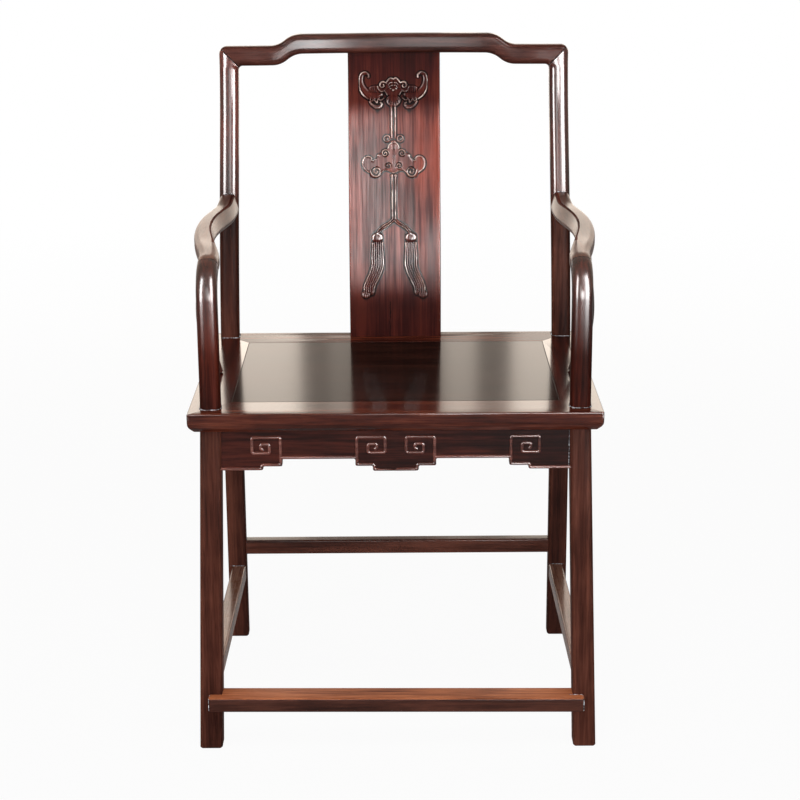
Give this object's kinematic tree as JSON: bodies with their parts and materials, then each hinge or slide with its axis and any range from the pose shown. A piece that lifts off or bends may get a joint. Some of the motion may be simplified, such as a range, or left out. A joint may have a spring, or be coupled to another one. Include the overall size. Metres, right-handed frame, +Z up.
{
  "type": "armchair",
  "caption": "High-backed wooden armchair with a stepped crest rail, carved splat, bowed arms, panelled seat, stepped aprons and a low front foot rail.",
  "frame": {"origin": "on the floor, under the middle of the whole chair", "axes": "+Z up, +Y towards the back of the chair, +X to the right as seen from the front"},
  "size_m": [0.5928, 0.517, 0.9898],
  "materials": {
    "frame_wood": "dark lacquer, satin gloss, worn edges",
    "apron_wood": "dark lacquer, satin gloss, raised beads",
    "carved_wood": "dark lacquer, satin gloss, carved relief",
    "panel_wood": "dark lacquer, gloss, rubbed by use",
    "batten_wood": "bare, planed"
  },
  "bodies": {
    "root": {"crest_rail": "frame_wood", "foot_rail": "frame_wood", "back_stretcher": "frame_wood", "seat_front_rail": "frame_wood", "seat_back_rail": "frame_wood", "front_leg_left": "frame_wood", "front_leg_right": "frame_wood", "back_leg_left": "frame_wood", "back_leg_right": "frame_wood", "arm_left": "frame_wood", "arm_right": "frame_wood", "arm_brace_left": "frame_wood", "arm_brace_right": "frame_wood", "seat_side_rail_left": "frame_wood", "seat_side_rail_right": "frame_wood", "side_stretcher_left": "frame_wood", "side_stretcher_right": "frame_wood", "front_apron": "apron_wood", "back_apron": "apron_wood", "side_apron_left": "apron_wood", "side_apron_right": "apron_wood", "panel_batten_left": "batten_wood", "panel_batten_right": "batten_wood", "splat": "carved_wood", "seat_panel": "panel_wood"}
  },
  "joints": []
}
